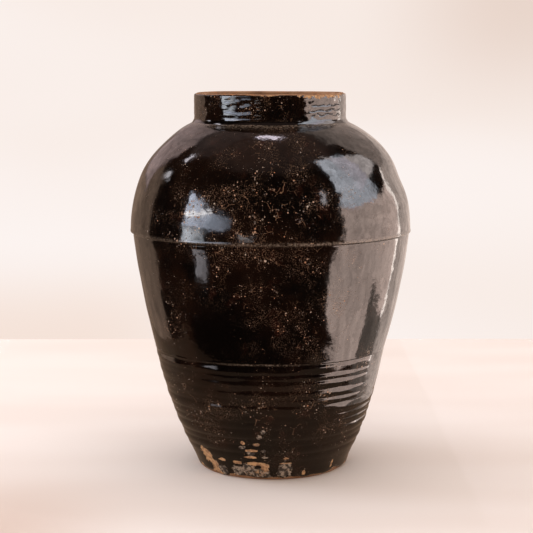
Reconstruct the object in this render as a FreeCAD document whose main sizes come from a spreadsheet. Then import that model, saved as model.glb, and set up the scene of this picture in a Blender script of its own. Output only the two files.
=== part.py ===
import FreeCAD, Part
import math
import os
import Sketcher

# A wheel-built stoneware storage jar: a base slab, three wall tiers and a collar, luted with slip,
# under an outer and an inner glaze. Every piece is turned about Z, and the jar stands on z = 0.
# The wall's outer face is a chain of arcs. The layers inside it follow the same centres, each at
# its own depth below that face.

DIMENSIONS = (
    ("jar_height", 400.0),
    # Heights at which the tiers meet, on the outside of the wall.
    ("slab_thickness", 11.0),
    ("lower_joint", 130.0),
    ("seam", 254.0),
    ("collar_joint", 366.8),
    # The joints slope: their inner edge is higher, except under the collar, where it is lower.
    ("joint_bevel", 5.0),
    ("collar_bevel", 8.4),
    ("slip", 1.0),
    ("collar_slip", 0.5),
    # The arcs of the outer face: distance of the centre from the axis, its height, the radius.
    ("lower_centre", -405.4),
    ("lower_rise", 238.0),
    ("lower_radius", 540.0),
    ("middle_centre", -677.0),
    ("middle_rise", 348.0),
    ("middle_radius", 830.0),
    ("belly_centre", -15.5),
    ("belly_rise", 255.0),
    ("belly_radius", 164.6),
    # The upper shoulder runs on from the belly arc, so its radius follows from its centre.
    ("shoulder_centre", 43.4),
    ("shoulder_rise", 273.7),
    # Collar.
    ("neck_radius", 80.6),
    ("collar_fillet", 8.0),
    ("lip_round", 3.0),
    ("lip_bare", 3.5),
    # Layers, from the outside in.
    ("outer_glaze", 0.8),
    ("clay_wall", 8.0),
    ("inner_glaze", 0.6),
    # Foot and floor.
    ("foot_bare", 4.0),
    ("foot_round", 1.5),
    ("floor_radius", 62.0),
    ("coil_top", 23.0),
    ("coil_round", 22.0),
    # Throwing rings on the lower tier.
    ("ring_start", 21.0),
    ("ring_pitch", 9.0),
    ("ring_round", 13.0),
)
RING_COUNT = 12


class Size:
    """A length with the sheet expression that drives it."""

    def __init__(self, value, text):
        self.value = value
        self.text = text

    def __add__(self, other):
        return Size(self.value + other.value, f"({self.text} + {other.text})")

    def __sub__(self, other):
        return Size(self.value - other.value, f"({self.text} - {other.text})")

    def __mul__(self, other):
        return Size(self.value * other.value, f"({self.text} * {other.text})")

    def __truediv__(self, other):
        return Size(self.value / other.value, f"({self.text} / {other.text})")


def root(size):
    return Size(math.sqrt(size.value), f"sqrt({size.text})")


def hypotenuse(across, up):
    return root(across * across + up * up)


doc = FreeCAD.newDocument("storage_jar")
sheet = doc.addObject("Spreadsheet::Sheet", "dims")
d = {}
for row, (alias, value) in enumerate(DIMENSIONS, start=1):
    sheet.set(f"A{row}", alias)
    sheet.set(f"B{row}", str(value))
    sheet.setAlias(f"B{row}", alias)
    d[alias] = Size(value, f"dims.{alias}")
doc.recompute()

NONE = Size(0.0, "0")
GLAZE_DEPTH = d["outer_glaze"]
CLAY_DEPTH = d["outer_glaze"] + d["clay_wall"]
LINER_DEPTH = CLAY_DEPTH + d["inner_glaze"]
WALL_FOOT = d["slab_thickness"] + d["slip"]
GLAZE_TOP = d["jar_height"] - d["lip_bare"]


class Section:
    """A closed half-section in a body's XZ plane; every corner and radius is bound to the sheet."""

    def __init__(self, body):
        plane = next(f for f in body.Origin.OriginFeatures if f.Role == "XZ_Plane")
        self.body = body
        self.sketch = body.newObject("Sketcher::SketchObject", f"{body.Name}_section")
        self.sketch.AttachmentSupport = [(plane, "")]
        self.sketch.MapMode = "FlatFace"
        self.corners = []
        self.steps = []

    def corner(self, point, radius=None, bulge=0):
        """Add a corner, reached by a line, or by an arc that bulges left (1) or right (-1)."""
        self.corners.append(point)
        self.steps.append((radius, bulge))

    def path(self, stretch, down=False):
        """Add a stretch of wall: its corners in rising order, each with the arc that leads to it."""
        if not down:
            for point, radius, bulge in stretch:
                self.corner(point, radius, bulge)
            return
        arcs = [(None, 0)] + [(radius, -bulge) for _, radius, bulge in reversed(stretch[1:])]
        for (point, _, _), (radius, bulge) in zip(reversed(stretch), arcs):
            self.corner(point, radius, bulge)

    def bind(self, kind, references, size):
        index = self.sketch.addConstraint(Sketcher.Constraint(kind, *references, size.value))
        self.sketch.setExpression(f"Constraints[{index}]", size.text)

    def fix(self, geo, end, point):
        """Hold one end of a segment at its distance from the axis and its height."""
        for size, kind, axis in zip(point, ("DistanceX", "DistanceY"), (-2, -1)):
            if size is NONE:
                self.sketch.addConstraint(Sketcher.Constraint("PointOnObject", geo, end, axis))
            else:
                self.bind(kind, (-1, 1, geo, end), size)

    def turn(self):
        """Draw the section and turn it about Z."""
        count = len(self.corners)
        ends = []
        for index, (radius, bulge) in enumerate(self.steps):
            start = [size.value for size in self.corners[index - 1]]
            end = [size.value for size in self.corners[index]]
            if radius is None:
                segment = Part.LineSegment(FreeCAD.Vector(*start, 0), FreeCAD.Vector(*end, 0))
                ends.append((1, 2))
            else:
                segment = arc_between(start, end, radius.value, bulge)
                ends.append((2, 1) if bulge > 0 else (1, 2))
            self.sketch.addGeometry(segment, False)
        for geo, point in enumerate(self.corners):
            following = (geo + 1) % count
            joint = (geo, ends[geo][1], following, ends[following][0])
            self.sketch.addConstraint(Sketcher.Constraint("Coincident", *joint))
            self.fix(geo, ends[geo][1], point)
            if self.steps[geo][0] is not None:
                self.bind("Radius", (geo,), self.steps[geo][0])
        feature = self.body.newObject("PartDesign::Revolution", f"{self.body.Name}_turned")
        feature.Profile = (self.sketch, [""])
        feature.ReferenceAxis = (self.sketch, ["V_Axis"])
        feature.Angle = 360
        self.body.Tip = feature
        return feature


def arc_between(start, end, radius, bulge):
    """The arc of a radius between two points, bulging left (1) or right (-1) of the way there."""
    step = [b - a for a, b in zip(start, end)]
    chord = math.hypot(*step)
    back = math.sqrt(radius ** 2 - (chord / 2) ** 2) * bulge
    centre = ((start[0] + end[0]) / 2 + back * step[1] / chord,
              (start[1] + end[1]) / 2 - back * step[0] / chord)
    angles = [math.atan2(p[1] - centre[1], p[0] - centre[0]) for p in (start, end)]
    if bulge > 0:
        angles.reverse()
    circle = Part.Circle(FreeCAD.Vector(*centre, 0), FreeCAD.Vector(0, 0, 1), radius)
    return Part.ArcOfCircle(circle, *angles)


class Curve:
    """One arc of the wall's outer face."""

    def __init__(self, centre, rise, radius):
        self.centre = centre
        self.rise = rise
        self.radius = radius

    def at(self, depth, height):
        """The point at a height, on this arc moved inwards by a depth."""
        reach = self.radius - depth
        up = height - self.rise
        return self.centre + root(reach * reach - up * up), height

    def towards(self, depth, centre, rise):
        """The point of this arc, moved inwards by a depth, that faces another centre."""
        across, up = centre - self.centre, rise - self.rise
        share = (self.radius - depth) / hypotenuse(across, up)
        return self.centre + across * share, self.rise + up * share


LOWER = Curve(d["lower_centre"], d["lower_rise"], d["lower_radius"])
MIDDLE = Curve(d["middle_centre"], d["middle_rise"], d["middle_radius"])
BELLY = Curve(d["belly_centre"], d["belly_rise"], d["belly_radius"])
CENTRE_GAP = hypotenuse(d["shoulder_centre"] - d["belly_centre"],
                        d["shoulder_rise"] - d["belly_rise"])
SHOULDER = Curve(d["shoulder_centre"], d["shoulder_rise"], d["belly_radius"] - CENTRE_GAP)

# The fillet between shoulder and collar touches both; the inner face shares its centre.
FILLET_CENTRE = d["neck_radius"] + d["collar_fillet"]
FILLET_REACH = SHOULDER.radius + d["collar_fillet"]
FILLET_ACROSS = FILLET_CENTRE - SHOULDER.centre
FILLET_RISE = SHOULDER.rise + root(FILLET_REACH * FILLET_REACH - FILLET_ACROSS * FILLET_ACROSS)

OUT = -1
IN = 1


def inside(depth, drop):
    """How far the joints' edge has moved up at a depth: none outside, the whole bevel inside."""
    return drop if depth in (CLAY_DEPTH, LINER_DEPTH) else NONE


def lower_wall(depth, bottom, ringed):
    """The lower tier's face, from a height to the top of the tier."""
    stretch = [(LOWER.at(depth, bottom), None, 0)]
    top = d["lower_joint"] - d["slip"] + inside(depth, d["joint_bevel"])
    if not ringed:
        return stretch + [(LOWER.at(depth, top), LOWER.radius - depth, OUT)]
    stretch.append((LOWER.at(depth, d["ring_start"]), LOWER.radius - depth, OUT))
    for ring in range(1, RING_COUNT + 1):
        height = d["ring_start"] + d["ring_pitch"] * Size(ring, str(ring))
        stretch.append((LOWER.at(depth, height), d["ring_round"], OUT))
    return stretch


def middle_wall(depth):
    """The middle tier's face."""
    bottom = d["lower_joint"] + inside(depth, d["joint_bevel"])
    top = d["seam"] - d["slip"] + inside(depth, d["joint_bevel"])
    return [(MIDDLE.at(depth, bottom), None, 0),
            (MIDDLE.at(depth, top), MIDDLE.radius - depth, OUT)]


def shoulder_wall(depth):
    """The shoulder tier's face, up to the joint under the collar."""
    bottom = d["seam"] + inside(depth, d["joint_bevel"])
    turn = BELLY.towards(depth, SHOULDER.centre, SHOULDER.rise)
    top = d["collar_joint"] - d["collar_slip"] - inside(depth, d["collar_bevel"])
    return [(BELLY.at(depth, bottom), None, 0),
            (turn, BELLY.radius - depth, OUT),
            (SHOULDER.at(depth, top), SHOULDER.radius - depth, OUT)]


def collar_wall(depth, top):
    """The collar's face, from its joint up to a height."""
    bottom = d["collar_joint"] - inside(depth, d["collar_bevel"])
    fillet_foot = SHOULDER.towards(depth, FILLET_CENTRE, FILLET_RISE)
    upright = d["neck_radius"] - depth
    return [(SHOULDER.at(depth, bottom), None, 0),
            (fillet_foot, SHOULDER.radius - depth, OUT),
            ((upright, FILLET_RISE), d["collar_fillet"] + depth, IN),
            ((upright, top), None, 0)]


def new_section(name):
    body = doc.addObject("PartDesign::Body", name)
    body.Label = name
    return Section(body)


def round_edges(section, feature, height, radius):
    """Round the circular edges of a turned body that lie at one height."""
    doc.recompute()
    names = [f"Edge{number}" for number, edge in enumerate(feature.Shape.Edges, start=1)
             if abs(edge.BoundBox.ZMin - height.value) < 1e-6
             and abs(edge.BoundBox.ZMax - height.value) < 1e-6]
    fillet = section.body.newObject("PartDesign::Fillet", f"{section.body.Name}_rounded")
    fillet.Base = (feature, names)
    fillet.setExpression("Radius", radius.text)
    section.body.Tip = fillet


def make_base_slab():
    """The flat disc the jar stands on, with its foot edge rounded."""
    section = new_section("base_slab")
    section.corner((NONE, NONE))
    section.corner(LOWER.at(GLAZE_DEPTH, NONE))
    section.corner(LOWER.at(GLAZE_DEPTH, d["slab_thickness"]), LOWER.radius - GLAZE_DEPTH, OUT)
    section.corner((NONE, d["slab_thickness"]))
    feature = section.turn()
    round_edges(section, feature, NONE, d["foot_round"])


def make_corner_coil():
    """The coil that fills the inside corner between slab and wall."""
    section = new_section("base_corner_coil")
    section.corner((d["floor_radius"], d["slab_thickness"]))
    section.corner(LOWER.at(CLAY_DEPTH, d["slab_thickness"]))
    section.corner(LOWER.at(CLAY_DEPTH, d["coil_top"]), LOWER.radius - CLAY_DEPTH, OUT)
    section.steps[0] = (d["coil_round"], IN)
    section.turn()


def make_slip(name, below, above, outside, bevel, thickness):
    """The layer of slip in a joint between the two wall curves below and above it."""
    section = new_section(name)
    inner_edge = outside + bevel
    section.corner(below.at(CLAY_DEPTH, inner_edge - thickness))
    section.corner(below.at(GLAZE_DEPTH, outside - thickness))
    section.corner(above.at(GLAZE_DEPTH, outside))
    section.corner(above.at(CLAY_DEPTH, inner_edge))
    section.turn()


def make_tier(name, outer_face, inner_face):
    """A tier of clay wall between its outer and its inner face."""
    section = new_section(name)
    section.path(outer_face)
    section.path(inner_face, down=True)
    return section, section.turn()


def make_outer_glaze():
    """The glaze outside, from above the foot to just under the lip."""
    section = new_section("outer_glaze")
    for depth, down in ((NONE, False), (GLAZE_DEPTH, True)):
        face = (lower_wall(depth, d["foot_bare"], ringed=True) + middle_wall(depth)
                + shoulder_wall(depth) + collar_wall(depth, GLAZE_TOP))
        section.path(face, down)
    section.turn()


def make_inner_glaze():
    """The liner, over the floor, the corner coil and the wall."""
    section = new_section("inner_glaze")
    floors = ((CLAY_DEPTH, d["slab_thickness"], d["coil_round"], False),
              (LINER_DEPTH, d["slab_thickness"] + d["inner_glaze"],
               d["coil_round"] - d["inner_glaze"], True))
    for depth, floor, coil_round, down in floors:
        wall = lower_wall(depth, d["coil_top"], ringed=False)
        wall[0] = (wall[0][0], coil_round, OUT)
        face = ([((NONE, floor), None, 0), ((d["floor_radius"], floor), None, 0)] + wall
                + middle_wall(depth) + shoulder_wall(depth) + collar_wall(depth, GLAZE_TOP))
        section.path(face, down)
    section.turn()


make_base_slab()
make_slip("base_joint_slip", LOWER, LOWER, WALL_FOOT, NONE, d["slip"])
make_corner_coil()
make_tier("lower_tier", lower_wall(GLAZE_DEPTH, WALL_FOOT, ringed=True),
          lower_wall(CLAY_DEPTH, WALL_FOOT, ringed=False))
make_slip("lower_joint_slip", LOWER, MIDDLE, d["lower_joint"], d["joint_bevel"], d["slip"])
make_tier("middle_tier", middle_wall(GLAZE_DEPTH), middle_wall(CLAY_DEPTH))
make_slip("shoulder_joint_slip", MIDDLE, BELLY, d["seam"], d["joint_bevel"], d["slip"])
make_tier("shoulder_tier", shoulder_wall(GLAZE_DEPTH), shoulder_wall(CLAY_DEPTH))
make_slip("neck_joint_slip", SHOULDER, SHOULDER, d["collar_joint"],
          NONE - d["collar_bevel"], d["collar_slip"])
collar, collar_turned = make_tier("neck_collar", collar_wall(GLAZE_DEPTH, d["jar_height"]),
                                  collar_wall(CLAY_DEPTH, d["jar_height"]))
round_edges(collar, collar_turned, d["jar_height"], d["lip_round"])
make_inner_glaze()
make_outer_glaze()
doc.recompute()

for item in doc.Objects:
    if "Invalid" in item.State or "Error" in item.State:
        raise RuntimeError(f"{item.Label} failed: {item.State}")

os.makedirs("parts", exist_ok=True)
for body in doc.findObjects("PartDesign::Body"):
    shape = body.Shape
    if shape.isNull() or not shape.isValid() or len(shape.Solids) != 1:
        raise RuntimeError(f"{body.Label} is not one valid solid")
    shape.exportStep(f"parts/{body.Label}.step")
    box = shape.optimalBoundingBox(False)
    print(f"{body.Label}: {shape.Volume / 1000:.1f} cm3, z {box.ZMin:.2f} "
          f"to {box.ZMax:.2f}, radius {box.XMax:.2f}")
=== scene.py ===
import math

import bpy
import numpy as np
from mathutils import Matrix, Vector, noise


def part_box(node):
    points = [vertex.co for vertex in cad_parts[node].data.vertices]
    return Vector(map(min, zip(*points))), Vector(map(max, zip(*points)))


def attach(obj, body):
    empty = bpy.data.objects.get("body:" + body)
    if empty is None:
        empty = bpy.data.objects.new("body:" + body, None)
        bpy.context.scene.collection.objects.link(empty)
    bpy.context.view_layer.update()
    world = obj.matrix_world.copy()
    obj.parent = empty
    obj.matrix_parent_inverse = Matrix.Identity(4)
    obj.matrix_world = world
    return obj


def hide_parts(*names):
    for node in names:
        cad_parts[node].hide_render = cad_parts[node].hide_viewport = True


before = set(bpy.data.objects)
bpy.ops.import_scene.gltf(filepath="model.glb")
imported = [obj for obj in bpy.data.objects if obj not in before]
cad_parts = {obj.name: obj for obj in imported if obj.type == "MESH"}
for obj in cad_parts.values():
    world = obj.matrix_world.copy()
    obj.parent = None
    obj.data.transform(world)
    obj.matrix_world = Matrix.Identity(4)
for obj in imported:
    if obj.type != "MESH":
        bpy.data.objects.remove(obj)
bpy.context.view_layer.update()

MM = 0.001

# ---------------------------------------------------------------- sizes
# Heights come from the CAD nodes. The wall's outer face is the CAD's own chain of arcs:
# distance of the centre from the axis, its height, the radius.
FOOT_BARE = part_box("outer_glaze")[0].z
GLAZE_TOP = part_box("outer_glaze")[1].z
SLAB_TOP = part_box("base_slab")[1].z
COIL_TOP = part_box("base_corner_coil")[1].z
LOWER_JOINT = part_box("middle_tier")[0].z
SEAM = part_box("shoulder_tier")[0].z
COLLAR_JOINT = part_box("neck_joint_slip")[1].z
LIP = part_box("neck_collar")[1].z
LOWER_ARC = (-405.4 * MM, 238 * MM, 540 * MM)
MIDDLE_ARC = (-677 * MM, 348 * MM, 830 * MM)
BELLY_ARC = (-15.5 * MM, 255 * MM, 164.6 * MM)
SHOULDER_CENTRE = (43.4 * MM, 273.7 * MM)
NECK_RADIUS = 80.6 * MM
FILLET = 8 * MM
SLIP = 1 * MM
BEVEL = 5 * MM
SKIN = 1.2 * MM
CLAY_DEPTH = 8.8 * MM
LINER = 0.6 * MM
FLOOR_RADIUS = 62 * MM
FOOT_ROUND = 1.5 * MM
LIP_ROUND = 3 * MM
RING_START = 21 * MM
RING_PITCH = 9 * MM
RING_HEIGHT = 0.8 * MM
SHELF_HEIGHT = 1 * MM
CHIP_DEPTH = 0.55 * MM
CRACK_DEPTH = 0.6 * MM
CRACK_HEIGHTS = (378.5, 383, 388.5)
# How far the outer glaze wraps over the lip, at its face and at its back, in degrees.
GLAZE_WRAP, BACK_WRAP = 56, 50
# Rows closer than this are one row, and a stretch of wall shorter than this has none.
SAME_POINT = 0.02 * MM
SHORTEST = 0.05 * MM

_gap = math.hypot(SHOULDER_CENTRE[0] - BELLY_ARC[0], SHOULDER_CENTRE[1] - BELLY_ARC[1])
SHOULDER_ARC = (*SHOULDER_CENTRE, BELLY_ARC[2] - _gap)
TURN = BELLY_ARC[1] + (SHOULDER_CENTRE[1] - BELLY_ARC[1]) * BELLY_ARC[2] / _gap
_reach = SHOULDER_ARC[2] + FILLET
FILLET_CENTRE = NECK_RADIUS + FILLET
FILLET_RISE = SHOULDER_ARC[1] + math.sqrt(_reach ** 2 - (FILLET_CENTRE - SHOULDER_ARC[0]) ** 2)
FILLET_FOOT = SHOULDER_ARC[1] + (FILLET_RISE - SHOULDER_ARC[1]) * SHOULDER_ARC[2] / _reach

# ---------------------------------------------------------------- outline
# A row is (radius, height, normal out, normal up).


def arc_rows(arc, low, high, step):
    """Rows up a convex arc."""
    centre, rise, radius = arc
    start, end = (math.asin((z - rise) / radius) for z in (low, high))
    count = max(2, round(radius * abs(end - start) / step) + 1)
    return [(centre + radius * math.cos(t), rise + radius * math.sin(t), math.cos(t), math.sin(t))
            for t in np.linspace(start, end, count)]


def fillet_rows(low, high, step):
    """Rows up the hollow between shoulder and collar."""
    start, end = (math.asin((FILLET_RISE - z) / FILLET) for z in (low, high))
    count = max(2, round(FILLET * abs(end - start) / step) + 1)
    return [(FILLET_CENTRE - FILLET * math.cos(t), FILLET_RISE - FILLET * math.sin(t),
             math.cos(t), math.sin(t)) for t in np.linspace(start, end, count)]


def neck_rows(low, high, step):
    """Rows up the upright collar."""
    count = max(2, round((high - low) / step) + 1)
    return [(NECK_RADIUS, z, 1.0, 0.0) for z in np.linspace(low, high, count)]


def lip_rows(turn):
    """Rows over the outer edge of the lip, round to a slope in degrees."""
    centre = (NECK_RADIUS - LIP_ROUND, LIP - LIP_ROUND)
    return [(centre[0] + LIP_ROUND * math.cos(t), centre[1] + LIP_ROUND * math.sin(t),
             math.cos(t), math.sin(t)) for t in np.linspace(0.05, math.radians(turn), 6)]


def joined(found, new):
    """One run of rows after another, without repeating the row that they share."""
    if found and math.dist(found[-1][:2], new[0][:2]) < SAME_POINT:
        new = new[1:]
    return found + new


def wall_rows(low, high, step):
    """Rows up the jar's outer face between two heights, about a step apart."""
    parts = ((0, LOWER_JOINT, lambda *a: arc_rows(LOWER_ARC, *a)),
             (LOWER_JOINT, SEAM, lambda *a: arc_rows(MIDDLE_ARC, *a)),
             (SEAM, TURN, lambda *a: arc_rows(BELLY_ARC, *a)),
             (TURN, FILLET_FOOT, lambda *a: arc_rows(SHOULDER_ARC, *a)),
             (FILLET_FOOT, FILLET_RISE, fillet_rows),
             (FILLET_RISE, LIP, neck_rows))
    found = []
    for bottom, top, make in parts:
        a, b = max(low, bottom), min(high, top)
        if b - a > SHORTEST:
            found = joined(found, make(a, b, step))
    return found


def inwards(rows, depth):
    """The same rows moved in along their normals, as plain points."""
    return [(r - nr * depth, z - nz * depth) for r, z, nr, nz in rows]


def rounded(centre, radius, start, end, count):
    """Outline points round a corner, with angles in degrees."""
    return [(centre[0] + radius * math.cos(math.radians(t)), centre[1] + radius * math.sin(math.radians(t)))
            for t in np.linspace(start, end, count)]


# ---------------------------------------------------------------- surfaces


def smooth(value, low, high):
    """0 below low, 1 above high, with a soft step between."""
    t = np.clip((value - low) / (high - low), 0, 1)
    return t * t * (3 - 2 * t)


def bell(value, middle, width, power=2):
    """1 in the middle, falling to 0 over about a width; a higher power has a flatter top."""
    return np.exp(-(((value - middle) / width) ** power))


def arc_away(azimuth, degrees):
    """Signed angle from a bearing."""
    return (azimuth - math.radians(degrees) + math.pi) % (2 * math.pi) - math.pi


def facing(azimuth, degrees, width, power=2):
    """A bell round a bearing in degrees, with its width in radians."""
    return bell(arc_away(azimuth, degrees), 0, width, power)


def field(points, size, seed):
    """Smooth noise of about -1 to 1 over points, with lumps of a size. Each use has its own seed."""
    return np.array([noise.noise(p) for p in (points / size + seed * 17.3).tolist()]) * 1.6


def to_space(radius, azimuth, height):
    """Azimuth 0 faces the camera side, and grows towards +X."""
    return np.stack([radius * np.sin(azimuth), -radius * np.cos(azimuth), height], axis=-1)


def wander(points):
    """The wobble of the hand-thrown jar, shared by every layer so that they stay nested."""
    x, y, z = points.T
    radius = np.hypot(x, y)
    az = np.arctan2(x, -y)
    ring = to_space(np.full_like(z, 0.11), az, z)
    out = 0.45 * np.cos(2 * az + 0.9) + 0.5 * field(ring, 95 * MM, 1) + 0.22 * field(ring, 42 * MM, 2)
    # The wall under the seam stands further in on the left than on the right.
    under = smooth(z, SEAM - 45 * MM, SEAM - 2 * MM) * (z < SEAM - 0.3 * MM)
    out -= under * (0.45 - 0.75 * np.sin(az)) * 0.7
    # Flatter high on both shoulders, fuller at the left of the belly.
    out -= 2.6 * bell(az, -1.6, 0.75) * bell(z, 350 * MM, 15 * MM)
    out -= 2.6 * bell(az, 1.55, 0.6) * bell(z, 312 * MM, 16 * MM)
    out += 1.3 * bell(az, -1.6, 0.7) * bell(z, 252 * MM, 30 * MM)
    # Less near the axis, and none at the foot's underside.
    out *= MM * np.minimum(1, radius / (60 * MM)) * smooth(z, -20 * MM, 10 * MM)
    lean = 2.2 * (1 - smooth(z, 0, 125 * MM)) + 0.8 * smooth(z, 130 * MM, 170 * MM)
    lean = (lean - smooth(z, 325 * MM, 366 * MM)) * MM
    grow = 1 + out / np.maximum(radius, 1e-6)
    top = smooth(z, 330 * MM, LIP) * field(ring, 70 * MM, 3) * 0.5 * MM
    return np.stack([x * grow + lean, y * grow, z + top], axis=-1)


def mesh_object(name, points, faces, attributes=None):
    mesh = bpy.data.meshes.new(name)
    mesh.from_pydata(points.tolist(), [], faces)
    mesh.polygons.foreach_set("use_smooth", [True] * len(mesh.polygons))
    for key, values in (attributes or {}).items():
        layer = mesh.attributes.new(key, "FLOAT", "POINT")
        layer.data.foreach_set("value", np.ascontiguousarray(values, dtype=np.float32))
    mesh.update()
    piece = bpy.data.objects.new(name, mesh)
    bpy.context.scene.collection.objects.link(piece)
    return piece


def turned_faces(rows, columns, closed, pole_low=False, pole_high=False):
    """Quads between rows of a turned surface, and the fans round its poles."""
    faces = []
    last = rows if closed else rows - 1
    for j in range(last):
        a, b = j * columns, (j + 1) % rows * columns
        faces += [(a + i, a + (i + 1) % columns, b + (i + 1) % columns, b + i) for i in range(columns)]
    pole = rows * columns
    if pole_low:
        faces += [(pole, (i + 1) % columns, i) for i in range(columns)]
        pole += 1
    if pole_high:
        top = (rows - 1) * columns
        faces += [(pole, top + i, top + (i + 1) % columns) for i in range(columns)]
    return faces


def around(columns):
    return np.linspace(-math.pi, math.pi, columns, endpoint=False)


def turned(name, outline, columns=160):
    """A piece turned about the axis from its outline, which runs round it with the clay on its left."""
    low, high = outline[0][0] < 1e-9, outline[-1][0] < 1e-9
    rows = outline[int(low):len(outline) - int(high)]
    r, z = (np.repeat(np.array(v), columns) for v in zip(*rows))
    points = to_space(r, np.tile(around(columns), len(rows)), z)
    for pole in ([outline[0]] if low else []) + ([outline[-1]] if high else []):
        points = np.vstack([points, [(0, 0, pole[1])]])
    faces = turned_faces(len(rows), columns, not (low or high), low, high)
    return mesh_object(name, wander(points), faces)


# ---------------------------------------------------------------- clay, slip and liner


def tier(name, low, high, step=6 * MM):
    """A tier of the clay wall between two joints, whose inner edges are a bevel higher."""
    outer = inwards(wall_rows(low, high, step), SKIN)
    inner = inwards(wall_rows(low + BEVEL, high + BEVEL, step), CLAY_DEPTH)
    return turned(name, outer + inner[::-1])


def joint(name, height, thickness=SLIP):
    """The slip between two tiers."""
    def point(z, depth):
        return inwards(wall_rows(z, z + 1 * MM, 1), depth)[0]
    outer = [point(z, SKIN) for z in (height - thickness, height)]
    inner = [point(z + BEVEL, CLAY_DEPTH) for z in (height, height - thickness)]
    return turned(name, outer + inner)


def corner_rise(share):
    """How far up the inside corner has curved, at a share of the way from floor to wall."""
    return (COIL_TOP - SLAB_TOP) * (1 - math.sqrt(1 - share * share))


def make_slab():
    """The disc at the bottom, with its lower edge rounded."""
    face = inwards(wall_rows(1.8 * MM, SLAB_TOP, 0.8 * MM), SKIN)
    edge = face[0][0] - FOOT_ROUND
    corner = rounded((edge, FOOT_ROUND), FOOT_ROUND, -90, 0, 6)
    under = [(r, 0.0) for r in np.linspace(0, edge, 12)[:-1]]
    over = [(r, SLAB_TOP) for r in np.linspace(face[-1][0], 0, 12)[1:]]
    return turned("jar_base_slab", under + corner + face[1:] + over, columns=240)


def make_coil():
    """The coil in the inside corner, between the slab and the wall."""
    wall = inwards(wall_rows(SLAB_TOP, COIL_TOP, 2 * MM), CLAY_DEPTH)
    reach = wall[-1][0] - FLOOR_RADIUS
    hollow = [(FLOOR_RADIUS + reach * t, SLAB_TOP + corner_rise(t)) for t in np.linspace(0, 0.98, 8)]
    return turned("jar_corner_coil", wall + hollow[::-1])


def make_collar():
    """The collar, with its bare lip rounded over."""
    rows = wall_rows(COLLAR_JOINT, LIP - LIP_ROUND, 3 * MM)
    outer, inner = inwards(rows, SKIN), inwards(rows, CLAY_DEPTH)
    top = LIP - LIP_ROUND
    lip = rounded((outer[-1][0] - LIP_ROUND, top), LIP_ROUND, 0, 90, 8)
    lip += rounded((inner[-1][0] + LIP_ROUND, top), LIP_ROUND, 90, 180, 8)
    return turned("jar_neck_collar", outer[:-1] + lip + inner[::-1][1:], columns=300)


def make_liner():
    """The liner: floor, corner and wall, up to the inside of the lip."""
    def skin(depth, floor):
        wall = inwards(wall_rows(COIL_TOP, LIP - 3.5 * MM, 5 * MM), depth)
        reach = wall[0][0] - FLOOR_RADIUS
        corner = [(FLOOR_RADIUS + reach * t, floor + corner_rise(t)) for t in np.linspace(0, 0.97, 8)]
        flat = [(r, floor) for r in np.linspace(0, FLOOR_RADIUS, 8)[:-1]]
        return flat + corner + [p for p in wall if p[1] > corner[-1][1] + 1 * MM]
    under = skin(CLAY_DEPTH, SLAB_TOP)
    over = skin(CLAY_DEPTH + LINER, SLAB_TOP + LINER)
    return turned("jar_inner_glaze", under + over[::-1], columns=220)


# ---------------------------------------------------------------- outer glaze

# Chips through the outer glaze: azimuth in degrees, height, width, height across, in mm, and how
# grey the patch is, from 0 for bare orange clay to 1 for pale grey.
CHIPS = (
    # left of the front
    (-50, 22, 14, 15, 0.05), (-46, 12, 10, 10, 0.35), (-44, 5, 13, 7, 0.1), (-38, 8, 9, 8, 0.8),
    (-30, 3, 8, 5, 0.0), (-25, 9, 12, 10, 0.75), (-36, 20, 8, 3, 0.2), (-25, 19, 10, 3, 0.2),
    # the column of flakes at the front
    (-11, 19, 19, 4, 0.0), (-17, 11, 13, 14, 0.6), (-5, 14, 8, 9, 0.3), (-9, 7, 18, 11, 0.6),
    (-14, 27, 13, 2.6, 0.3), (-5, 27, 7, 2, 0.9), (-14, 31, 9, 2.6, 1.0), (-13, 35, 11, 3, 0.1),
    (-5.5, 35, 4, 3, 1.0), (-18.5, 38, 6, 3, 1.0), (-18, 43, 5, 4.5, 0.4), (-9.5, 42, 7, 3.6, 0.5),
    (-7, 51, 5, 4.5, 1.0), (-5, 57, 4, 4, 1.0),
    # right of the front
    (9, 26, 5, 2, 0.2), (9, 23, 4, 2, 0.9), (8.5, 19.5, 10, 2.2, 0.3), (9, 12, 13, 14, 0.65),
    (12, 3, 10, 4, 0.3), (23, 8, 3.4, 3.4, 0.0), (48, 12, 2.6, 7, 0.3),
    # along the bottom edge
    (2, 2, 30, 5, 0.0), (33, 2, 22, 5, 0.0), (52, 3, 16, 4.5, 0.0),
    # sides and back
    (-66, 5, 8, 5, 0.3), (-84, 6, 9, 6, 0.2), (-102, 3, 12, 4, 0.0), (74, 4, 7, 5, 0.1),
    (95, 5, 12, 5, 0.1), (118, 9, 8, 9, 0.5), (131, 3, 14, 4, 0.0), (150, 6, 12, 6, 0.7),
    (172, 12, 9, 10, 0.3), (169, 3, 16, 4, 0.0), (-150, 5, 14, 6, 0.1), (-124, 8, 8, 8, 0.8),
    (-131, 22, 8, 3, 0.2), (160, 28, 7, 3, 0.6), (110, 25, 5, 3, 0.3),
)
COLUMNS = 332


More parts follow.
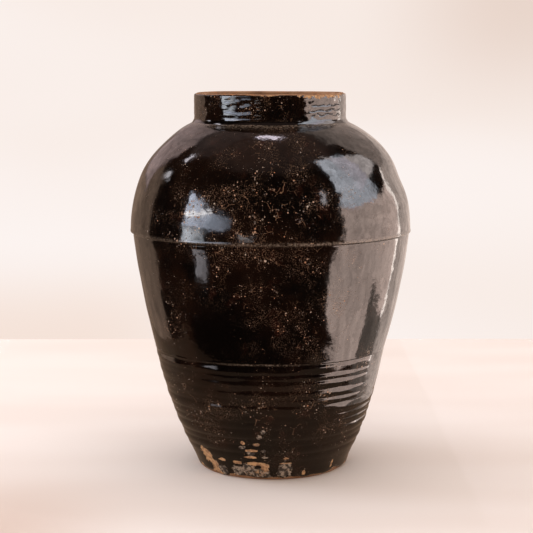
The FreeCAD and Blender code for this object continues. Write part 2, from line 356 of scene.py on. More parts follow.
def glaze_rows():
    """Rows up the outer glaze, closer together where its surface has detail."""
    rows = wall_rows(FOOT_BARE, RING_START, 1.4 * MM)
    for low, high, step in ((RING_START, LOWER_JOINT - SLIP, RING_PITCH / 7),
                            (LOWER_JOINT - SLIP, LOWER_JOINT + 4 * MM, 0.5 * MM),
                            (LOWER_JOINT + 4 * MM, SEAM - 6 * MM, 3 * MM),
                            (SEAM - 6 * MM, SEAM - 0.9 * MM, 0.5 * MM),
                            (SEAM, SEAM + 5 * MM, 0.5 * MM),
                            (SEAM + 5 * MM, FILLET_FOOT, 3.4 * MM),
                            (FILLET_FOOT, FILLET_RISE + 1 * MM, 1.4 * MM),
                            (FILLET_RISE + 1 * MM, GLAZE_TOP, 0.75 * MM)):
        rows = joined(rows, wall_rows(low, high, step))
    return rows + lip_rows(GLAZE_WRAP)


class Face:
    """The outer glaze's outer face before it has any relief, one value a point."""

    def __init__(self, rows):
        self.r, self.z, self.nr, self.nz = (np.repeat(np.array(v), COLUMNS) for v in zip(*rows))
        self.az = np.tile(around(COLUMNS), len(rows))
        self.at = to_space(self.r, self.az, self.z)
        self.level = level_points(self.az, self.z)
        # The finger marks climb and sink a little on their way round.
        self.drift = (field(self.level, 70 * MM, 5) * 1.3 + field(self.level, 25 * MM, 6) * 0.4) * MM
        self.ringed = smooth(self.z, RING_START - 3 * MM, RING_START + 8 * MM)
        self.ringed *= 1 - smooth(self.z, LOWER_JOINT - 8 * MM, LOWER_JOINT)
        # Where the upper rings and the bead over them are faint.
        self.faint = facing(self.az, 27, 0.24, 4) + facing(self.az, 70, 0.42, 4)
        self.above_joint = self.z - LOWER_JOINT - 0.5 * MM + self.drift * 0.4
        self.above_seam = self.z - SEAM - 1 * MM
        self.collar = smooth(self.z, FILLET_RISE - 4 * MM, FILLET_RISE + 2 * MM)
        self.cracked = smooth(self.az, 0.45, 0.6) * (1 - smooth(self.az, 1.05, 1.25))


def level_points(azimuth, height):
    """Points for noise that changes more round the jar than up it."""
    return to_space(np.full_like(height, 0.1), azimuth, height * 0.25)


def foot_edge(azimuth, height):
    """How far the glaze's lower edge is up or down, fading out above it."""
    edge = (field(level_points(azimuth, height), 22 * MM, 13) * 1.6 - 2) * MM
    return edge * (1 - smooth(height, FOOT_BARE, FOOT_BARE + 8 * MM))


def ring_relief(f):
    """Throwing rings: rolls, and right of the front shelves with a long face and a short step in."""
    turn = (f.z - RING_START + f.drift) / RING_PITCH
    turn += 0.13 * np.sin(2 * math.pi * turn * 0.37 + 1)
    part = turn - np.floor(turn)
    swell = 0.75 + 0.35 * np.sin(np.floor(turn) * 2.4) + 0.3 * field(f.at, 40 * MM, 7)
    depth = 1.3 - 0.5 * smooth(f.z, 75 * MM, 105 * MM)
    depth -= 0.7 * smooth(f.z, 50 * MM, 85 * MM) * np.minimum(f.faint, 1)
    rolls = (4 * part * (1 - part)) ** 0.85 * RING_HEIGHT * swell * f.ringed * depth
    shelves = np.minimum(part / 0.78, (1 - part) / 0.22) * SHELF_HEIGHT
    shelved = facing(f.az, 33, 0.37, 6) * smooth(f.z, 80 * MM, 90 * MM) * (f.z < LOWER_JOINT - SLIP)
    return rolls + (shelves - rolls) * shelved


def seam_relief(f):
    """The bead where the two lower tiers meet, and the proud edge of the upper one over the seam."""
    bead = 0.26 * bell(f.above_joint, 0, 1.2 * MM) * (0.7 + 0.7 * field(f.level, 18 * MM, 8))
    bead *= 1 - 0.8 * f.faint
    ridge = 0.5 * bell(f.above_seam, 0, 1.5 * MM) * (0.65 + 0.5 * field(f.level, 30 * MM, 9))
    hollow = 0.25 * bell(f.above_seam, -3.5 * MM, 1.8 * MM) * (0.5 - 0.6 * np.sin(f.az))
    return (bead + ridge - hollow) * MM


def lump_relief(f):
    """Lumps and runs of the glaze, and the rougher collar."""
    lumps = field(f.at, 24 * MM, 10) * 0.17 + field(f.at * (1, 1, 0.5), 12 * MM, 11) * 0.055
    ripple = field(f.at * (1, 1, 2.2), 10 * MM, 18) * 0.2 + field(f.at, 5 * MM, 19) * 0.08
    return (lumps * (1 - 0.5 * f.ringed) + ripple * f.collar * (1 + 0.9 * f.cracked)) * MM


def edge_relief(f):
    """The glaze thins towards its lower edge and again over the lip."""
    return (0.5 * smooth(f.z, LIP - 1.5 * MM, LIP) + 0.8 * np.exp(-(f.z - FOOT_BARE) / (1.6 * MM))) * -MM


def crack_field(f):
    """Cracks round the right of the collar."""
    crack = np.zeros_like(f.z)
    for height in CRACK_HEIGHTS:
        bend = field(f.level, 9 * MM, 21 + height) * 1.6 * MM
        crack = np.maximum(crack, f.cracked * bell(f.z + bend, height * MM, 0.9 * MM))
    return crack


def chip_fields(f):
    """How far each point is inside a chip, over 0.5 where the clay shows, and how grey it is there."""
    chip, grey = np.zeros_like(f.z), np.zeros_like(f.z)
    for bearing, height, width, tall, pale in CHIPS:
        across = arc_away(f.az, bearing) * f.r / (width * MM / 2)
        up = (f.z - height * MM) / (tall * MM / 2)
        spot = 1.2 * np.exp(-0.8 * np.maximum(across ** 2 + up ** 2 - 0.25, 0))
        grey = np.where(spot > chip, pale, grey)
        chip = np.maximum(chip, spot)
    chip *= 0.9 + 0.25 * field(f.at, 5 * MM, 12)
    # The lip is worn bare, furthest down on the right of the front.
    worn = 0.03 + 0.97 * smooth(f.az, 0.28, 0.42) * (1 - smooth(f.az, 1.1, 1.3))
    worn += 0.25 * field(f.level, 30 * MM, 16)
    edge = smooth(f.z, LIP - (0.9 + 9 * np.clip(worn, 0.03, 1.1)) * MM, LIP - 0.2 * MM)
    return np.maximum(chip, edge * (0.72 + 0.3 * field(f.at, 4 * MM, 17))), grey


def wear_field(f):
    """Wear, which brings specks and thin glaze: most on the front of the belly and shoulder."""
    front = facing(f.az, 2, 0.62)
    wear = 0.25 + 0.75 * front * bell(f.z, 265 * MM, 80 * MM)
    wear += 0.45 * np.clip(field(f.at, 55 * MM, 14), 0, 1)
    wear += 0.5 * bell(f.z, 0, 45 * MM) * front + 0.25 * f.collar
    wear += 0.6 * bell(f.z, 268 * MM, 24 * MM) * facing(f.az, -24, 0.45)
    wear += 0.9 * bell(f.z, 302 * MM, 24 * MM) * facing(f.az, -1, 0.32)
    wear += 0.35 * bell(f.z, 80 * MM, 38 * MM)
    wear += 0.35 * bell(f.z, 172 * MM, 48 * MM) * facing(f.az, 4, 0.36)
    wear *= 0.75 + 0.5 * field(f.at, 22 * MM, 20)
    # Nearly none where a thick run left a black patch, left of the front.
    wear *= 1 - 0.95 * facing(f.az, -29, 0.17, 4) * bell(f.z, 150 * MM, 38 * MM, 4)
    return np.clip(wear, 0.03, 1.6)


def dust_field(f):
    """Dust in the hollow round the neck, along the bead and over the seam."""
    neck = 0.6 * bell(f.z, FILLET_FOOT + 1 * MM, 2.5 * MM)
    bead = 0.8 * bell(f.above_joint, 0, 0.8 * MM) * facing(f.az, -7, 0.33)
    seam = bell(f.above_seam, 0, 1.6 * MM) * (0.3 + 0.7 * facing(f.az, 32, 0.85))
    return np.maximum(np.maximum(neck, bead), seam)


def make_glaze():
    """The outer glaze: its outer face carries the rings, bead, seam, lumps, cracks and chips."""
    rows = glaze_rows()
    f = Face(rows)
    chip, grey = chip_fields(f)
    crack = crack_field(f)
    rise = ring_relief(f) + seam_relief(f) + lump_relief(f) + edge_relief(f)
    rise -= CHIP_DEPTH * smooth(chip, 0.35, 0.75) + CRACK_DEPTH * crack
    outer = to_space(f.r + f.nr * rise, f.az, f.z + f.nz * rise + foot_edge(f.az, f.z))

    back = inwards((wall_rows(FOOT_BARE, GLAZE_TOP, 14 * MM) + lip_rows(BACK_WRAP)[1::2])[::-1], SKIN)
    r, z = (np.repeat(np.array(v), COLUMNS) for v in zip(*back))
    az = np.tile(around(COLUMNS), len(back))
    inner = to_space(r, az, z + foot_edge(az, z))

    points = wander(np.vstack([outer, inner]))
    points[:, 2] = np.maximum(points[:, 2], 0.3 * MM)
    faces = turned_faces(len(rows) + len(back), COLUMNS, True)
    fields = {"chip": chip, "wear": wear_field(f), "dust": dust_field(f), "grey": grey, "crack": crack}
    unseen = np.zeros(len(inner))
    attributes = {key: np.append(values, unseen) for key, values in fields.items()}
    return mesh_object("jar_outer_glaze", points, faces, attributes)


# ---------------------------------------------------------------- materials


class Nodes:
    """A node tree with short calls for the nodes the finishes use."""

    def __init__(self, owner):
        owner.use_nodes = True
        self.tree = owner.node_tree
        self.tree.nodes.clear()

    def fill(self, made, inputs):
        """Link or set a node's inputs."""
        for key, value in inputs.items():
            if isinstance(value, bpy.types.NodeSocket):
                self.tree.links.new(value, made.inputs[key])
            else:
                made.inputs[key].default_value = value
        return made

    def node(self, kind, inputs=None, **settings):
        made = self.tree.nodes.new(kind)
        for key, value in settings.items():
            setattr(made, key, value)
        return self.fill(made, inputs or {})

    def math(self, operation, a, b=0.0, c=0.0):
        return self.node("ShaderNodeMath", {0: a, 1: b, 2: c}, operation=operation).outputs[0]

    def add(self, a, b):
        return self.math("ADD", a, b)

    def times(self, a, b):
        return self.math("MULTIPLY", a, b)

    def most(self, a, b):
        return self.math("MAXIMUM", a, b)

    def vector(self, operation, inputs):
        return self.node("ShaderNodeVectorMath", inputs, operation=operation).outputs[0]

    def span(self, value, low, high, to_low=0.0, to_high=1.0, kind="SMOOTHSTEP"):
        inputs = {"Value": value, "From Min": low, "From Max": high, "To Min": to_low, "To Max": to_high}
        return self.node("ShaderNodeMapRange", inputs, interpolation_type=kind).outputs["Result"]

    def line(self, value, low, high, to_low, to_high):
        return self.span(value, low, high, to_low, to_high, "LINEAR")

    def mix(self, factor, a, b, blend="MIX"):
        made = self.node("ShaderNodeMix", data_type="RGBA", blend_type=blend)
        made.clamp_factor = True
        colours = {key: value if isinstance(value, bpy.types.NodeSocket) else (*value, 1)
                   for key, value in ((6, a), (7, b))}
        return self.fill(made, {0: factor, **colours}).outputs[2]

    def place(self):
        return self.node("ShaderNodeTexCoord").outputs["Object"]

    def stretched(self, vector, scale, rotation=(0, 0, 0)):
        inputs = {"Vector": vector, "Scale": scale, "Rotation": rotation}
        return self.node("ShaderNodeMapping", inputs).outputs[0]

    def noise(self, vector, size, detail=2.0, rough=0.5):
        inputs = {"Vector": vector, "Scale": 1 / size, "Detail": detail, "Roughness": rough}
        return self.node("ShaderNodeTexNoise", inputs).outputs["Fac"]

    def about(self, vector, size, detail, rough, amount):
        """Noise either side of zero."""
        return self.times(self.add(self.noise(vector, size, detail, rough), -0.5), amount)

    def warped(self, vector, size, amount):
        """The vector moved about by noise."""
        made = self.node("ShaderNodeTexNoise", {"Vector": vector, "Scale": 1 / size, "Detail": 2.0})
        shift = self.vector("SUBTRACT", {0: made.outputs["Color"], 1: (0.5, 0.5, 0.5)})
        return self.vector("ADD", {0: vector, 1: self.vector("SCALE", {0: shift, "Scale": amount})})

    def cells(self, vector, size, feature="F1"):
        return self.node("ShaderNodeTexVoronoi", {"Vector": vector, "Scale": 1 / size}, feature=feature)

    def attribute(self, name):
        return self.node("ShaderNodeAttribute", attribute_name=name).outputs["Fac"]

    def bump(self, height):
        """Bump from a height in metres."""
        return self.node("ShaderNodeBump", {"Height": height, "Distance": 1.0, "Strength": 1.0}).outputs[0]

    def finish(self, colour, roughness, normal, **constants):
        inputs = {"Base Color": colour, "Roughness": roughness, "Normal": normal, **constants}
        shader = self.node("ShaderNodeBsdfPrincipled", inputs)
        self.node("ShaderNodeOutputMaterial", {"Surface": shader.outputs[0]})


def specks(n, at, size, share, reach):
    """Round specks in sparse cells: a mask of those whose random radius covers the point."""
    cell = n.cells(at, size)
    parts = n.node("ShaderNodeSeparateColor", {0: cell.outputs["Color"]}).outputs
    grown = n.times(n.math("POWER", parts[0], share), reach)
    return n.math("LESS_THAN", cell.outputs["Distance"], grown), parts[1], parts[2]


def worn_surface(n, at, wear):
    """The dark glaze's own colour, with the grain and threads that show where it is thin."""
    colour = n.mix(n.span(n.noise(at, 60 * MM, 3), 0.38, 0.68),
                   (0.0008, 0.0004, 0.0003), (0.0065, 0.0026, 0.0013))
    rust = n.times(n.span(n.noise(n.warped(at, 30 * MM, 12 * MM), 16 * MM, 4, 0.62), 0.55, 0.75), wear)
    colour = n.mix(n.times(rust, 0.55), colour, (0.036, 0.010, 0.006))

    # Black where the glaze is thickest.
    colour = n.mix(n.span(wear, 0.3, 0.04), colour, (0.0006, 0.0003, 0.0002))

    # Fine brown grain in clouds, where the glaze is thin over the clay.
    grain = n.span(n.noise(at, 1.1 * MM, 3, 0.65), 0.52, 0.66)
    thin = n.times(n.span(n.noise(at, 26 * MM, 4, 0.6), 0.42, 0.64, 0.06, 1.0),
                   n.span(wear, 0.05, 0.9, 0.02, 1.0))
    colour = n.mix(n.times(n.times(grain, thin), 0.9), colour, (0.145, 0.092, 0.062))

    # Thread-like crackle, broken into short runs.
    web = n.cells(n.warped(at, 9 * MM, 6 * MM), 9 * MM, "DISTANCE_TO_EDGE").outputs["Distance"]
    runs = n.span(n.noise(at, 8 * MM, 4, 0.65), 0.52, 0.62)
    thread = n.times(n.times(n.span(web, 0.028, 0.008), runs), n.span(wear, 0.35, 0.95))
    colour = n.mix(n.times(thread, 0.75), colour, (0.24, 0.15, 0.095))

    # Hair scratches.
    strokes = n.noise(n.stretched(at, (1, 1, 14), (0.5, 0.35, 0)), 9 * MM, 2, 0.5)
    hairs = n.times(n.span(n.math("ABSOLUTE", n.add(strokes, -0.5)), 0.006, 0.0),
                    n.span(n.noise(at, 14 * MM, 1), 0.56, 0.66))
    return n.mix(n.times(hairs, 0.35), colour, (0.13, 0.10, 0.085)), grain


def speckled(n, at, wear, colour):
    """Pale, tan and orange specks and pinholes over a colour, and the mask of them."""
    bent = n.warped(at, 0.8 * MM, 0.9 * MM)
    crowd = n.span(n.noise(at, 13 * MM, 3, 0.6), 0.38, 0.64, 0.35, 1.5)
    fine, tint, tone = specks(n, bent, 1.9 * MM, 3.5, n.times(crowd, n.line(wear, 0.03, 1.0, 0.05, 0.46)))
    colour = n.mix(n.times(fine, n.span(tone, 0.1, 1, 0.12, 1.0)), colour,
                   n.mix(tint, (0.40, 0.19, 0.09), (0.50, 0.43, 0.36)))
    flecks, tint, tone = specks(n, bent, 5 * MM, 7.0, n.times(crowd, n.line(wear, 0.0, 1.3, 0.05, 0.21)))
    colour = n.mix(n.times(flecks, n.span(tone, 0, 1, 0.35, 0.95)), colour,
                   n.mix(tint, (0.48, 0.20, 0.08), (0.58, 0.51, 0.44)))
    return colour, n.most(fine, flecks)


def chipped_clay(n, at, grey):
    """What shows in the chips: tan and orange clay, and pale grey crust."""
    clay = n.mix(n.span(n.noise(at, 3.4 * MM, 4, 0.6), 0.42, 0.6), (0.60, 0.365, 0.185), (0.27, 0.14, 0.07))
    crust = n.mix(n.span(n.noise(at, 3.6 * MM, 4, 0.6), 0.44, 0.58),
                  (0.035, 0.025, 0.019), (0.36, 0.29, 0.225))
    return n.mix(n.span(n.add(grey, n.about(at, 4 * MM, 3, 0.6, 0.9)), 0.40, 0.60), clay, crust)


def dark_glaze_material():
    material = bpy.data.materials.new("glaze_dark")
    n = Nodes(material)
    at = n.place()
    chip, wear, dust, grey, crack = (n.attribute(key) for key in ("chip", "wear", "dust", "grey", "crack"))
    colour, grain = worn_surface(n, at, wear)
    colour, dots = speckled(n, at, wear, colour)

    film = n.times(dust, n.span(n.noise(at, 2.5 * MM, 3, 0.65), 0.38, 0.62, 0.05, 0.85))
    colour = n.mix(film, colour, (0.21, 0.165, 0.13))

    # Cracks, dull inside, with painted shade darkening them.
    cracked = n.times(n.span(crack, 0.35, 0.7), n.span(n.noise(at, 4 * MM, 2), 0.34, 0.46))
    colour = n.mix(cracked, colour, (0.002, 0.001, 0.001))

    # Chips down to the clay, with a ragged edge.
    torn = n.times(n.add(n.noise(at, 4 * MM, 5, 0.72), -0.5), n.span(chip, 0.05, 0.35, 0.3, 2.0))
    bare = n.span(n.add(chip, torn), 0.47, 0.53)
    colour = n.mix(n.times(bare, 0.95), colour, chipped_clay(n, at, grey))

    rough = n.line(n.noise(at, 25 * MM, 3), 0.3, 0.7, 0.05, 0.085)
    for amount, share in ((wear, 0.012), (grain, 0.06), (film, 0.35), (cracked, 0.7)):
        rough = n.add(rough, n.times(amount, share))
    rough = n.most(rough, n.times(n.most(bare, n.times(dots, 0.7)), 0.75))

    peel = n.add(n.times(n.noise(at, 8 * MM, 1), 0.12 * MM), n.times(n.noise(at, 2.6 * MM, 2), 0.035 * MM))
    grit = n.times(n.times(n.noise(at, 0.9 * MM, 3), 0.25 * MM), bare)
    pits = n.add(n.times(dots, -0.05 * MM), n.times(bare, -0.15 * MM))
    n.finish(colour, rough, n.bump(n.add(n.add(peel, grit), pits)), IOR=1.5)
    return material


def liner_material():
    material = bpy.data.materials.new("glaze_liner")
    n = Nodes(material)
    at = n.place()
    streaks = n.noise(n.stretched(at, (1, 1, 0.25)), 12 * MM, 4)
    colour = n.mix(n.span(streaks, 0.35, 0.7), (0.010, 0.012, 0.006), (0.034, 0.034, 0.016))
    colour = n.mix(n.span(n.noise(at, 20 * MM, 3), 0.55, 0.75), colour, (0.045, 0.026, 0.012))
    fine, _, tone = specks(n, at, 3 * MM, 6.0, 0.25)
    colour = n.mix(n.times(fine, n.span(tone, 0, 1, 0.2, 0.8)), colour, (0.28, 0.21, 0.14))
    rough = n.line(n.noise(at, 8 * MM, 3), 0.3, 0.7, 0.13, 0.3)
    height = n.add(n.times(n.noise(at, 9 * MM, 2), 0.1 * MM), n.times(streaks, 0.08 * MM))
    n.finish(colour, rough, n.bump(height), IOR=1.5)
    return material


def clay_material(name, pale, deep, flush, grain=0.12 * MM):
    """Coarse fired clay: mottled, with iron specks, an orange flush and grog."""
    material = bpy.data.materials.new(name)
    n = Nodes(material)
    at = n.place()
    colour = n.mix(n.span(n.noise(at, 14 * MM, 4), 0.35, 0.68), pale, deep)
    colour = n.mix(n.times(n.span(n.noise(at, 7 * MM, 3, 0.6), 0.5, 0.68), 0.75), colour, flush)
    iron, _, tone = specks(n, at, 2.2 * MM, 4.0, 0.3)
    colour = n.mix(n.times(iron, n.span(tone, 0, 1, 0.2, 0.85)), colour, (0.03, 0.018, 0.012))
    grog = n.noise(at, 0.7 * MM, 3, 0.6)
    colour = n.mix(n.times(n.span(grog, 0.55, 0.75), 0.35), colour, (0.45, 0.36, 0.27))
    rough = n.line(grog, 0.3, 0.7, 0.72, 0.92)
    height = n.add(n.times(grog, grain), n.times(n.noise(at, 3 * MM, 2), 0.2 * MM))
    n.finish(colour, rough, n.bump(height), IOR=1.45)
    return material


# ---------------------------------------------------------------- stage

WALL_Y = 0.715
WALL_REACH = 5
WALL_HEIGHT = 4
FLOOR_Z = -0.1 * MM
FLOOR_REACH = 6
# The part of the floor that the glaze mirrors, and how bright and what colour it is mirrored: darker and
# warmer than the floor, which is painted shade.
NEAR_FLOOR = ((-0.14, -0.24), (0.205, -0.24), (0.205, WALL_Y), (-0.40, WALL_Y), (-0.40, -0.10))
NEAR_SHARE = 0.42
NEAR_TINT = (1.0, 0.86, 0.68)
LAMP_COLOUR = (0.91, 0.97, 1.07)
CAMERA_PLACE = (-4.06 * MM, -1.589, 0.4328)
CAMERA_LENS = 100.6
CAMERA_DOWN = 7.85


def plane(name, corners, material):
    mesh = bpy.data.meshes.new(name)
    mesh.from_pydata(corners, [], [tuple(range(len(corners)))])
    piece = bpy.data.objects.new(name, mesh)
    bpy.context.scene.collection.objects.link(piece)
    mesh.materials.append(material)
    return piece


def seen_only_by(piece, camera=False, glossy=False):
    piece.visible_camera = camera
    piece.visible_diffuse = False
    piece.visible_glossy = glossy
    piece.visible_transmission = False
    piece.visible_shadow = False


def floor_material(name, share, tint):
    """A pale floor with painted light streaks and painted shade at the near left, or what the glaze mirrors
    of it, darkened with painted shade to a share as bright.
    """
    material = bpy.data.materials.new(name)
    n = Nodes(material)
    at = n.place()
    x, y, _ = n.node("ShaderNodeSeparateXYZ", {0: at}).outputs
    # Painted light: soft streaks of light across the floor.
    painted_light_streaks = n.noise(n.stretched(at, (0.45, 1.5, 1), (0, 0, 0.22)), 0.2, 1)
    colour = n.mix(n.span(painted_light_streaks, 0.32, 0.68), (0.815, 0.768, 0.757), (0.85, 0.815, 0.812))
    # Painted shade: darker at the near left.
    near = n.times(n.span(y, 0.02, -0.26), n.span(x, -0.10, -0.26))
    colour = n.mix(n.times(near, 0.85), colour, (0.66, 0.55, 0.50))
    # For the mirrored copy, painted shade: a share as bright as the floor, and warmer.
    colour = n.mix(1.0, colour, tuple(share * value for value in tint), "MULTIPLY")
    rough = n.span(n.noise(at, 20 * MM, 2), 0, 1, 0.85, 0.95)
    n.finish(colour, rough, n.bump(n.times(n.noise(at, 4 * MM, 2), 0.02 * MM)))
    return material


def wall_material():
    """A pale wall that glows at an even strength, with painted light streaks and painted shade at the top
    right and low on the left, and can't be seen from behind.
    """
    material = bpy.data.materials.new("stage_wall")
    n = Nodes(material)
    x, _, z = n.node("ShaderNodeSeparateXYZ", {0: n.place()}).outputs
    # Painted light: soft diagonal streaks of light.
    painted_light_streaks = n.noise(n.stretched(n.place(), (0.55, 1, 1.9), (0, 0.55, 0)), 0.42, 1)
    colour = n.mix(n.span(painted_light_streaks, 0.3, 0.7), (0.935, 0.83, 0.775), (0.975, 0.90, 0.87))
    # Painted shade towards the top right.
    painted_shade_top_right = n.times(n.span(x, 0.10, 0.38), n.span(z, 0.30, 0.52))
    colour = n.mix(n.times(painted_shade_top_right, 0.9), colour, (0.80, 0.655, 0.58))
    # Painted shade low on the left, by the floor.
    painted_shade_low_left = n.times(n.span(x, 0.0, -0.3), n.span(z, 0.16, 0.0))
    colour = n.mix(n.times(painted_shade_low_left, 0.8), colour, (0.905, 0.745, 0.66))
    glow = n.node("ShaderNodeEmission", {"Color": colour, "Strength": 1.0})
    clear = n.node("ShaderNodeBsdfTransparent")
    back = n.node("ShaderNodeNewGeometry").outputs["Backfacing"]
    both = n.node("ShaderNodeMixShader", {0: back, 1: glow.outputs[0], 2: clear.outputs[0]})
    n.node("ShaderNodeOutputMaterial", {"Surface": both.outputs[0]})
    material.cycles.emission_sampling = "NONE"
    return material


# What the glaze mirrors, by bearing: azimuths, elevations, how much the top and the bottom fall
# towards the right, edge softness (all in degrees), colour, strength at the left and at the right.
MIRRORED = (
    # right-hand wall of light: its upper and lower half
    (63, 126, -5, 15.5, 0.03, 0.0, 2.0, (1.0, 0.76, 0.66), 6.3, 3.9),
    (57, 126, -22, -3, 0.0, -0.02, 2.0, (1.0, 0.76, 0.66), 6.4, 3.9),
    # its V-shaped bottom edge, and the dim light beside that
    (54, 84, -31, -19, 0.0, 0.38, 2.0, (1.0, 0.76, 0.66), 6.4, 5.2),
    (82, 104, -42, -19, 0.0, -0.59, 2.0, (1.0, 0.76, 0.66), 5.3, 4.6),
    (104, 130, -48, -12, 0.0, 0.0, 3.0, (1.0, 0.80, 0.68), 0.9, 0.8),
    # a cool lobe and a pale one above it
    (65, 106, 13, 58, 0.15, 0.0, 3.0, (0.88, 0.91, 1.0), 8.2, 4.4),
    (84, 126, 19, 60, 0.52, -0.2, 2.5, (1.0, 0.88, 0.85), 6.0, 3.2),
    # a bright sliver at its right edge, and the dimmer room beyond
    (125.5, 128.5, -21, 20, 0.0, 0.0, 1.0, (1.0, 0.86, 0.78), 8.0, 8.0),
    (128, 192, -23, 18, 0.0, 0.0, 3.0, (1.0, 0.80, 0.70), 2.1, 0.38),
    (128, 192, -40, -22, 0.0, 0.0, 3.0, (1.0, 0.78, 0.66), 1.0, 0.35),
    (126, 192, 18, 56, 0.0, 0.0, 5.0, (1.0, 0.78, 0.68), 1.3, 0.45),
    # the window on the left, and what shows of it under the seam and on the collar
    (-75, -33, 3, 25, 0.33, 0.0, 2.0, (0.76, 0.83, 1.0), 13.0, 2.2),
    (-75, -50, 8.5, 12, -0.25, -0.25, 1.0, (1.0, 0.98, 1.0), 22.0, 16.0),
    (-76, -52, -6, 2, 0.0, 0.0, 2.0, (0.86, 0.92, 1.0), 12.0, 3.0),
    (-68, -57, -22, -17, 0.0, 0.0, 2.0, (1.0, 0.95, 1.0), 4.0, 2.4),
    # pale room behind, dim where the glaze is seen edge on
    (168, 245, -26, 24, 0.0, 0.0, 5.0, (1.0, 0.68, 0.50), 0.10, 0.90),
    (180, 228, 8, 44, 0.0, 0.0, 6.0, (1.0, 0.74, 0.70), 0.35, 1.5),
    # ceiling
    (-200, 400, 54, 95, 0.0, 0.0, 14.0, (1.0, 0.66, 0.55), 0.30, 0.30),
    (174, 258, 44, 70, 0.0, 0.0, 10.0, (1.0, 0.70, 0.62), 0.35, 0.35),
    # small bright things
    (165, 198, 71, 76, 0.0, 0.0, 1.5, (1.0, 0.88, 1.0), 12.0, 12.0),
    (245, 252, 39, 46, 0.0, 0.0, 1.5, (1.0, 0.93, 1.0), 8.0, 8.0),
    (243, 249, 22, 27, 0.0, 0.0, 1.5, (1.0, 0.95, 1.0), 6.0, 6.0),
    (45, 48, 21, 31, 0.0, 0.0, 1.0, (1.0, 0.93, 0.95), 8.0, 8.0),
    (-24, -14, -4, -1, 0.0, 0.0, 1.0, (1.0, 0.95, 0.95), 4.0, 4.0),
)
# The least that is mirrored from anywhere, the light on matt surfaces, and what the camera sees.
GLOOM = (0.035, 0.02, 0.015)
ROOM_LIGHT = (1.0, 0.805, 0.665, 1)
ROOM_STRENGTH = 0.92
BACKDROP = (0.93, 0.83, 0.77, 1)


def mirrored_light(n):
    """The MIRRORED patches, the brightest where they overlap, with uneven edges and surfaces."""
    toward = n.node("ShaderNodeTexCoord").outputs["Generated"]
    x, y, z = n.node("ShaderNodeSeparateXYZ", {0: toward}).outputs
    bearing = n.times(n.math("ARCTAN2", x, n.times(y, -1.0)), 180 / math.pi)
    azimuth = n.math("WRAP", bearing, 265.0, -95.0)
    elevation = n.times(n.math("ARCSINE", z), 180 / math.pi)
    bent_azimuth = n.add(azimuth, n.about(toward, 0.12, 4, 0.6, 12.0))
    bent_elevation = n.add(elevation, n.about(n.stretched(toward, (1.3, 1.3, 1.3)), 0.12, 4, 0.6, 7.0))
    total = None
    for low, high, bottom, top, top_fall, bottom_fall, soft, colour, left, right in MIRRORED:
        half = soft / 2
        along = n.add(bent_azimuth, -low)
        over = n.add(bent_elevation, n.times(along, bottom_fall))
        under = n.add(bent_elevation, n.times(along, top_fall))
        inside = n.times(n.span(bent_azimuth, low - half, low + half),
                         n.span(bent_azimuth, high - half, high + half, 1.0, 0.0))
        level = n.times(n.span(over, bottom - half, bottom + half),
                        n.span(under, top - half, top + half, 1.0, 0.0))
        amount = n.times(n.times(inside, level), n.line(azimuth, low, high, left, right))
        glow = n.vector("SCALE", {0: colour, "Scale": amount})
        total = glow if total is None else n.vector("MAXIMUM", {0: total, 1: glow})
    patchy = n.times(n.line(n.noise(toward, 0.03, 3, 0.65), 0.36, 0.64, 0.62, 1.2),
                     n.line(n.noise(toward, 0.11, 2), 0.35, 0.65, 0.8, 1.12))
    total = n.vector("SCALE", {0: total, "Scale": patchy})
    return n.vector("MAXIMUM", {0: total, 1: GLOOM})


def make_world():
    """Even warm light for matt surfaces, the mirrored room for gloss, a pale backdrop for the camera."""
    world = bpy.data.worlds.new("studio")
    bpy.context.scene.world = world
    n = Nodes(world)
    path = n.node("ShaderNodeLightPath").outputs
    looks = [n.node("ShaderNodeBackground", {"Color": colour, "Strength": strength}).outputs[0]
             for colour, strength in ((ROOM_LIGHT, ROOM_STRENGTH), (mirrored_light(n), 1.0),
                                      (BACKDROP, 1.0))]
    lit = n.node("ShaderNodeMixShader", {0: path["Is Glossy Ray"], 1: looks[0], 2: looks[1]})
    seen = n.node("ShaderNodeMixShader", {0: path["Is Camera Ray"], 1: lit.outputs[0], 2: looks[2]})
    n.node("ShaderNodeOutputWorld", {"Surface": seen.outputs[0]})
    world.cycles.sampling_method = "NONE"


def area_light(name, place, aim, size, power):
    data = bpy.data.lights.new(name, "AREA")
    data.shape = "SQUARE"
    data.size = size
    data.energy = power
    data.color = LAMP_COLOUR
    lamp = bpy.data.objects.new(name, data)
    bpy.context.scene.collection.objects.link(lamp)
    lamp.location = place
    lamp.rotation_mode = "QUATERNION"
    lamp.rotation_quaternion = (Vector(aim) - Vector(place)).to_track_quat("-Z", "Y")
    lamp.visible_camera = False
    lamp.visible_glossy = False


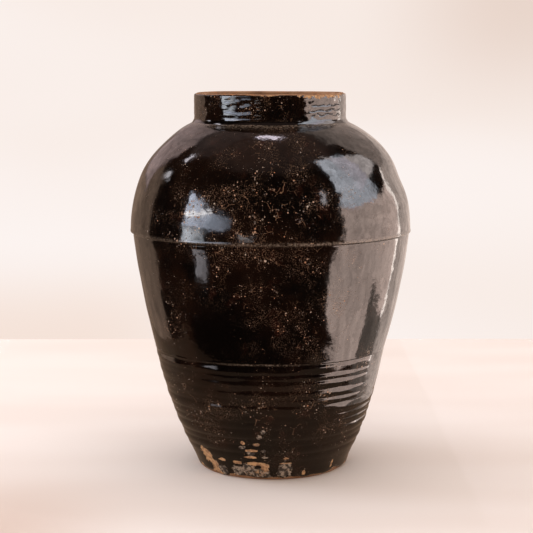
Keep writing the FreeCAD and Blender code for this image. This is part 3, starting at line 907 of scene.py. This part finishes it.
def make_stage():
    reach = FLOOR_REACH
    square = ((-reach, -reach), (reach, -reach), (reach, reach), (-reach, reach))
    corners = [(x, y, FLOOR_Z) for x, y in square]
    floor = plane("stage_floor", corners, floor_material("stage_floor", 1.0, (1.0, 1.0, 1.0)))
    floor.visible_glossy = False
    # What the glaze mirrors of the floor, with painted shade that makes it darker and warmer.
    near = plane("stage_floor_near", [(x, y, FLOOR_Z) for x, y in NEAR_FLOOR],
                 floor_material("stage_floor_near", NEAR_SHARE, NEAR_TINT))
    seen_only_by(near, glossy=True)
    wall = plane("stage_wall", [(-WALL_REACH, WALL_Y, FLOOR_Z), (WALL_REACH, WALL_Y, FLOOR_Z),
                                (WALL_REACH, WALL_Y, WALL_HEIGHT), (-WALL_REACH, WALL_Y, WALL_HEIGHT)],
                 wall_material())
    seen_only_by(wall, camera=True)
    area_light("key", (-2.0, 0.35, 1.25), (0, 0, 0.1), 1.3, 17)
    area_light("top", (0.1, 0.25, 2.4), (0, 0.1, 0), 2.6, 20.5)


def make_camera():
    data = bpy.data.cameras.new("camera")
    data.sensor_width = 36
    data.lens = CAMERA_LENS
    camera = bpy.data.objects.new("camera", data)
    bpy.context.scene.collection.objects.link(camera)
    camera.location = CAMERA_PLACE
    camera.rotation_euler = (math.radians(90 - CAMERA_DOWN), 0, 0)
    bpy.context.scene.camera = camera


# ---------------------------------------------------------------- the jar

make_camera()
make_stage()
make_world()
bpy.context.scene.view_settings.view_transform = "Standard"

clay = clay_material("clay_fired", (0.30, 0.165, 0.09), (0.17, 0.08, 0.04), (0.36, 0.15, 0.055))
slip = clay_material("clay_slip", (0.24, 0.15, 0.10), (0.18, 0.10, 0.06), (0.26, 0.15, 0.09), 0.05 * MM)
dark = dark_glaze_material()
liner = liner_material()

PIECES = (
    (make_slab(), "base_slab", clay, "fired_clay"),
    (joint("jar_base_slip", SLAB_TOP + SLIP), "base_joint_slip", slip, "slip"),
    (make_coil(), "base_corner_coil", clay, "fired_clay"),
    (tier("jar_lower_tier", SLAB_TOP + SLIP, LOWER_JOINT - SLIP), "lower_tier", clay, "fired_clay"),
    (joint("jar_lower_slip", LOWER_JOINT), "lower_joint_slip", slip, "slip"),
    (tier("jar_middle_tier", LOWER_JOINT, SEAM - SLIP), "middle_tier", clay, "fired_clay"),
    (joint("jar_seam_slip", SEAM), "shoulder_joint_slip", slip, "slip"),
    (tier("jar_shoulder_tier", SEAM, COLLAR_JOINT - SLIP), "shoulder_tier", clay, "fired_clay"),
    (joint("jar_neck_slip", COLLAR_JOINT), "neck_joint_slip", slip, "slip"),
    (make_collar(), "neck_collar", clay, "fired_clay"),
    (make_liner(), "inner_glaze", liner, "liner_glaze"),
    (make_glaze(), "outer_glaze", dark, "dark_glaze"),
)
for piece, node, material, slot in PIECES:
    piece.data.materials.append(material)
    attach(piece, "root")
    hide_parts(node)

bpy.context.view_layer.update()
